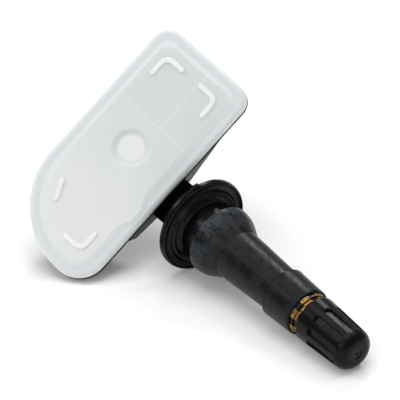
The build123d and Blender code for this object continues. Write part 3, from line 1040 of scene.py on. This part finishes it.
@dataclass
class ScrewThread:
    """A ridge of thread about the stem, in millimetres: drawn once as a section and carried along a helix.

    The phase is the share of a pitch by which the ridge is shifted along the stem.
    """

    name: str
    body: Body
    start: float
    end: float
    foot_radius: float
    crest_radius: float
    foot_width: float = 0.56
    crest_width: float = 0.1
    pitch: float = 0.79375
    phase: float = 0.0
    steps: int = 64

    def build(self, finish: bpy.types.Material) -> bpy.types.Object:
        """Model the ridge and cut it off square at both ends.

        Args:
            finish: its material.

        Returns:
            The finished piece.
        """
        turns = math.ceil((self.end - self.start) / self.pitch) + 2
        first = self.start - self.pitch + self.phase * self.pitch
        bpy.ops.object.select_all(action="DESELECT")
        bpy.ops.mesh.primitive_plane_add(size=1, rotation=(math.pi / 2, 0, 0))
        piece = bpy.context.object
        middle = (self.foot_radius + self.crest_radius) / 2
        piece.scale = (self.foot_width * MM, abs(self.crest_radius - self.foot_radius) * MM, 1)
        piece.location = (first * MM, 0, middle * MM)
        bpy.ops.object.transform_apply(location=True, rotation=True, scale=True)
        bpy.ops.object.mode_set(mode="EDIT")
        bpy.ops.mesh.select_all(action="DESELECT")
        bpy.ops.object.mode_set(mode="OBJECT")
        outward = 1 if self.crest_radius > self.foot_radius else -1
        for vertex in piece.data.vertices:
            vertex.select = outward * (vertex.co.z / MM - middle) > 0
        bpy.ops.object.mode_set(mode="EDIT")
        share = self.crest_width / self.foot_width
        bpy.ops.transform.resize(
            value=(share, 1, 1), center_override=(first * MM, 0, self.crest_radius * MM)
        )
        bpy.ops.mesh.select_all(action="SELECT")
        bpy.ops.mesh.delete(type="ONLY_FACE")
        bpy.ops.object.mode_set(mode="OBJECT")
        screw = piece.modifiers.new("helix", "SCREW")
        screw.axis = "X"
        screw.screw_offset = self.pitch * MM
        screw.iterations = turns
        screw.steps = self.steps
        screw.render_steps = self.steps
        bpy.ops.object.modifier_apply(modifier=screw.name)
        bpy.ops.object.mode_set(mode="EDIT")
        for place, way in ((self.start, -1), (self.end, 1)):
            bpy.ops.mesh.select_all(action="SELECT")
            bpy.ops.mesh.bisect(
                plane_co=(place * MM, 0, 0), plane_no=(way, 0, 0), use_fill=True, clear_outer=True
            )
        bpy.ops.mesh.select_all(action="SELECT")
        bpy.ops.mesh.normals_make_consistent(inside=False)
        bpy.ops.object.mode_set(mode="OBJECT")
        return settle(piece, self.name, Space.STEM, self.body, finish)


@dataclass
class FlashRing:
    """Thin fin of rubber that the mould's split leaves around the collar's step, in millimetres."""

    place: float = 25.0
    radius: float = 5.13
    reach: float = 0.12
    thickness: float = 0.14
    section_points: int = 8
    steps: int = 96
    merge_within: float = 0.001

    def build(self, finish: bpy.types.Material) -> bpy.types.Object:
        """Model the fin by spinning its section about the stem.

        Args:
            finish: its material.

        Returns:
            The finished piece.
        """
        bpy.ops.object.select_all(action="DESELECT")
        bpy.ops.mesh.primitive_circle_add(
            vertices=self.section_points, radius=0.5, rotation=(math.pi / 2, 0, 0)
        )
        piece = bpy.context.object
        piece.scale = (self.thickness * MM, self.reach * MM, 1)
        piece.location = (self.place * MM, 0, self.radius * MM)
        bpy.ops.object.transform_apply(location=True, rotation=True, scale=True)
        bpy.ops.object.mode_set(mode="EDIT")
        bpy.ops.mesh.select_all(action="SELECT")
        bpy.ops.mesh.spin(steps=self.steps, angle=2 * math.pi, center=(0, 0, 0), axis=(1, 0, 0))
        bpy.ops.mesh.select_all(action="SELECT")
        bpy.ops.mesh.remove_doubles(threshold=self.merge_within * MM)
        bpy.ops.mesh.normals_make_consistent(inside=False)
        bpy.ops.object.mode_set(mode="OBJECT")
        return settle(piece, "collar_flash", Space.STEM, Body.SENSOR, finish)


@dataclass
class WeldBeadAndShade:
    """Thin bead of melted plastic that the welding pressed out between lid and housing, in millimetres;
    dressed dead black, it also stands as painted shade in the gap under the lid's edge.

    Its corners are named for the side they lie on, near the stem or far from it, and for the end, short or
    broad, and their fields hold the radii. The bead stands proud of the rim and is sunk into it.
    """

    width: float = 23.0
    length: float = 49.8
    middle: tuple[float, float] = (-11.6, 0.0)
    near_short: float = 3.5
    far_short: float = 3.3
    far_broad: float = 16.5
    near_broad: float = 5.9
    corner_steps: int = 24
    corner_within: float = 0.01
    top: float = -1.42
    depth: float = 1.4
    proud: float = 0.04
    sunk: float = 0.3
    rounding: float = 0.05
    rounding_steps: int = 2

    def build(self, finish: bpy.types.Material) -> bpy.types.Object:
        """Model the bead: the rim's outline with its four corners rounded, made a ring and given its depth.

        Args:
            finish: its material.

        Returns:
            The finished piece.
        """
        bpy.ops.object.select_all(action="DESELECT")
        bpy.ops.mesh.primitive_plane_add(size=1)
        piece = bpy.context.object
        piece.scale = ((self.width + 2 * self.proud) * MM, (self.length + 2 * self.proud) * MM, 1)
        piece.location = (self.middle[0] * MM, self.middle[1] * MM, self.top * MM)
        bpy.ops.object.transform_apply(location=True, rotation=True, scale=True)
        corners = {
            (1, 1): self.near_short,
            (-1, 1): self.far_short,
            (-1, -1): self.far_broad,
            (1, -1): self.near_broad,
        }
        ends = {
            (way_x, way_y): (
                (self.middle[0] + way_x * (self.width / 2 + self.proud)) * MM,
                (self.middle[1] + way_y * (self.length / 2 + self.proud)) * MM,
            )
            for way_x, way_y in corners
        }
        for ways, radius in corners.items():
            bpy.ops.object.mode_set(mode="EDIT")
            bpy.ops.mesh.select_mode(type="VERT")
            bpy.ops.mesh.select_all(action="DESELECT")
            bpy.ops.object.mode_set(mode="OBJECT")
            for vertex in piece.data.vertices:
                vertex.select = (Vector(ends[ways]) - vertex.co.xy).length < self.corner_within * MM
            bpy.ops.object.mode_set(mode="EDIT")
            bpy.ops.mesh.bevel(
                offset=(radius + self.proud) * MM, segments=self.corner_steps, affect="VERTICES"
            )
            bpy.ops.object.mode_set(mode="OBJECT")
        bpy.ops.object.mode_set(mode="EDIT")
        bpy.ops.mesh.select_mode(type="FACE")
        bpy.ops.mesh.select_all(action="SELECT")
        bpy.ops.mesh.inset(thickness=(self.proud + self.sunk) * MM)
        bpy.ops.mesh.delete(type="FACE")
        bpy.ops.object.mode_set(mode="OBJECT")
        wall = piece.modifiers.new("depth", "SOLIDIFY")
        wall.thickness = self.depth * MM
        wall.offset = -1
        bpy.ops.object.modifier_apply(modifier=wall.name)
        soft = piece.modifiers.new("rounding", "BEVEL")
        soft.width = self.rounding * MM
        soft.segments = self.rounding_steps
        bpy.ops.object.modifier_apply(modifier=soft.name)
        return settle(piece, "weld_bead_and_painted_shade", Space.LID, Body.SENSOR, finish)


@dataclass
class Dressing:
    """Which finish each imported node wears, and the materials made so far."""

    finishes: dict[str, Finish] = field(
        default_factory=lambda: {
            "valve_rubber": RUBBER,
            "valve_stem": STEM_BRASS,
            "core_plug": PLATED,
            "core_barrel": BRASS,
            "core_gasket": SEAL_RUBBER,
            "core_pin": PLATED,
            "core_cup": BRASS,
            "core_cup_seal": SEAL_RUBBER,
            "core_spring": SPRING_STEEL,
            "valve_cap": CAP_PLASTIC,
            "cap_seal": SEAL_RUBBER,
            "housing": HOUSING_PLASTIC,
            "lid": LID_PLASTIC,
            "stem_screw": STEEL,
            "circuit_board": BOARD,
            "battery": CELL_STEEL,
            "upper_tab": TAB_NICKEL,
            "lower_tab": TAB_NICKEL,
            "sensor_chip": CHIP,
            "port_seal": SILICONE,
            "port_filter": MEMBRANE,
            "trigger_coil": COIL,
            "crystal": CELL_STEEL,
            "antenna": TINNED,
            "small_parts": CERAMIC,
        }
    )
    made: dict[str, bpy.types.Material] = field(default_factory=dict)

    def material(self, finish: Finish) -> bpy.types.Material:
        """Give the one material of a finish, made the first time it is asked for.

        Args:
            finish: the finish.

        Returns:
            Its material.
        """
        if finish.name not in self.made:
            self.made[finish.name] = finish.build()
        return self.made[finish.name]

    def dress(self, nodes: dict[str, bpy.types.Object]) -> None:
        """Put each node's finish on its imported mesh.

        Args:
            nodes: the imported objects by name.
        """
        for name, finish in self.finishes.items():
            mesh = nodes[name].data
            mesh.materials.clear()
            mesh.materials.append(self.material(finish))
            LOG.info("%s wears %s", name, finish.name)


@dataclass(frozen=True)
class Softbox:
    """A round soft lamp, with its width in metres and its power in watts.

    It hangs towards a direction that is given along the camera's right, up and back.
    """

    name: str
    towards: tuple[float, float, float]
    width: float
    power: float


@dataclass
class Studio:
    """Table, white surroundings, soft lamps and the camera, with lengths in metres and turns in degrees."""

    azimuth: float = 52.934
    elevation: float = 30.573
    tilt: float = -0.499
    distance: float = 0.8
    lens: float = 373.006
    sensor_width: float = 36.0
    nearest: float = 0.01
    farthest: float = 20.0
    target_right: float = -0.000767
    target_up: float = 0.005101
    floor_size: float = 6.0
    floor_squares: int = 8
    floor_colour: str = "#f6f6f6"
    floor_glow: float = 0.1
    world_light: float = 0.45
    lamp_distance: float = 2.0
    lamps: tuple[Softbox, ...] = (
        Softbox("back_softbox", (0.1, 0.93, -0.31), 0.5, 9.8),
        Softbox("left_softbox", (-0.72, 0.62, 0.2), 0.55, 4.0),
        Softbox("right_softbox", (0.45, 0.85, 0.25), 0.4, 4.0),
        Softbox("top_softbox", (-0.1, 0.84, 0.5), 1.6, 17.6),
        Softbox("front_fill", (-0.48, 0.1, 0.87), 1.5, 7.8),
    )

    def axes(self) -> tuple[Vector, Vector, Vector]:
        """Work out which way the camera looks.

        Returns:
            The camera's right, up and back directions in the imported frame.
        """
        azimuth, elevation, tilt = (math.radians(a) for a in (self.azimuth, self.elevation, self.tilt))
        back = Vector(
            (
                math.sin(azimuth) * math.cos(elevation),
                -math.cos(azimuth) * math.cos(elevation),
                math.sin(elevation),
            )
        )
        level = Vector((math.cos(azimuth), math.sin(azimuth), 0))
        raised = back.cross(level)
        right = math.cos(tilt) * level + math.sin(tilt) * raised
        up = -math.sin(tilt) * level + math.cos(tilt) * raised
        return right, up, back

    def place_camera(self) -> None:
        """Set the camera where the photograph was taken from."""
        right, up, back = self.axes()
        data = bpy.data.cameras.new("photo_camera")
        data.lens = self.lens
        data.sensor_width = self.sensor_width
        data.clip_start = self.nearest
        data.clip_end = self.farthest
        camera = bpy.data.objects.new("photo_camera", data)
        bpy.context.scene.collection.objects.link(camera)
        turned = Matrix((right, up, back)).transposed().to_4x4()
        target = self.target_right * right + self.target_up * up
        camera.matrix_world = Matrix.Translation(target + back * self.distance) @ turned
        bpy.context.scene.camera = camera

    def lay_floor(self, height: float) -> None:
        """Lay the white table under the object, with a faint glow where it is seen or mirrored.

        Args:
            height: the table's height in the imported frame.
        """
        bpy.ops.object.select_all(action="DESELECT")
        bpy.ops.mesh.primitive_grid_add(
            x_subdivisions=self.floor_squares,
            y_subdivisions=self.floor_squares,
            size=self.floor_size,
            location=(0, 0, height),
        )
        floor = bpy.context.object
        floor.name = "table"
        bpy.ops.object.transform_apply(location=True)
        material = bpy.data.materials.new("white_table")
        material.use_nodes = True
        tree = material.node_tree
        tree.nodes.clear()
        rays = add_node(tree, "ShaderNodeLightPath")
        seen = rays.outputs["Is Camera Ray"]
        for ray in ("Is Glossy Ray", "Is Transmission Ray"):
            either = add_node(tree, "ShaderNodeMath", {0: seen, 1: rays.outputs[ray]}, operation="MAXIMUM")
            seen = either.outputs["Value"]
        glow = add_node(tree, "ShaderNodeMath", {0: seen, 1: self.floor_glow}, operation="MULTIPLY")
        matt = add_node(tree, "ShaderNodeBsdfDiffuse", {"Color": linear(self.floor_colour)})
        light = add_node(tree, "ShaderNodeEmission", {"Strength": glow.outputs["Value"]})
        both = add_node(
            tree, "ShaderNodeAddShader", {0: matt.outputs["BSDF"], 1: light.outputs["Emission"]}
        )
        add_node(tree, "ShaderNodeOutputMaterial", {"Surface": both.outputs["Shader"]})
        floor.data.materials.append(material)
        floor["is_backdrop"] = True

    def light_world(self) -> None:
        """Surround the object with a dim white, which the lamps outshine."""
        world = bpy.data.worlds.new("white_surroundings")
        bpy.context.scene.world = world
        world.use_nodes = True
        tree = world.node_tree
        tree.nodes.clear()
        glow = add_node(tree, "ShaderNodeBackground", {"Strength": self.world_light})
        add_node(tree, "ShaderNodeOutputWorld", {"Surface": glow.outputs["Background"]})

    def hang_lamps(self) -> None:
        """Hang the softboxes around the object, each facing it."""
        right, up, back = self.axes()
        for softbox in self.lamps:
            data = bpy.data.lights.new(softbox.name, "AREA")
            data.shape = "DISK"
            data.size = softbox.width
            data.energy = softbox.power
            lamp = bpy.data.objects.new(softbox.name, data)
            bpy.context.scene.collection.objects.link(lamp)
            where = softbox.towards[0] * right + softbox.towards[1] * up + softbox.towards[2] * back
            lamp.location = where.normalized() * self.lamp_distance
            lamp.rotation_euler = where.to_track_quat("Z", "Y").to_euler()

    def build(self, height: float) -> None:
        """Make the whole studio.

        Args:
            height: the table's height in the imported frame.
        """
        self.place_camera()
        self.lay_floor(height)
        self.light_world()
        self.hang_lamps()


@dataclass
class PressureSensor:
    """The part itself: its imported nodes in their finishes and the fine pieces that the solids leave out.

    The spring's foot is its standing end in millimetres along the stem, and keep is the share of its length
    that is left when the pin is pressed.
    """

    dressing: Dressing = field(default_factory=Dressing)
    stem_thread: ScrewThread = field(
        default_factory=lambda: ScrewThread(
            "stem_thread", Body.SENSOR, start=34.1, end=42.4, foot_radius=3.35, crest_radius=3.82
        )
    )
    cap_thread: ScrewThread = field(
        default_factory=lambda: ScrewThread(
            "cap_thread", Body.CAP, start=34.8, end=42.6, foot_radius=3.95, crest_radius=3.58, phase=0.5
        )
    )
    flash: FlashRing = field(default_factory=FlashRing)
    bead: WeldBeadAndShade = field(default_factory=WeldBeadAndShade)
    spring_foot: float = 31.5
    spring_keep: float = 0.785

    def build(self, nodes: dict[str, bpy.types.Object]) -> None:
        """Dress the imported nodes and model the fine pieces.

        Args:
            nodes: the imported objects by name.
        """
        self.dressing.dress(nodes)
        self.stem_thread.build(self.dressing.material(BRASS))
        self.cap_thread.build(self.dressing.material(CAP_PLASTIC))
        self.flash.build(self.dressing.material(RUBBER))
        # Painted shade: the bead's dead black also stands in for the shadow in the gap under the lid's
        # edge.
        self.bead.build(self.dressing.material(MELTED_AND_SHADE))
        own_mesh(nodes["core_spring"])


def main() -> None:
    """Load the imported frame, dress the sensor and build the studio."""
    logging.basicConfig(level=logging.INFO, format="%(name)s: %(message)s")
    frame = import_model()
    cad_low, cad_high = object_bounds()
    PressureSensor().build(frame["nodes"])
    Studio().build(cad_low.z)
    scene = bpy.context.scene
    scene.view_settings.view_transform = "Standard"


if __name__ == "__main__":
    main()
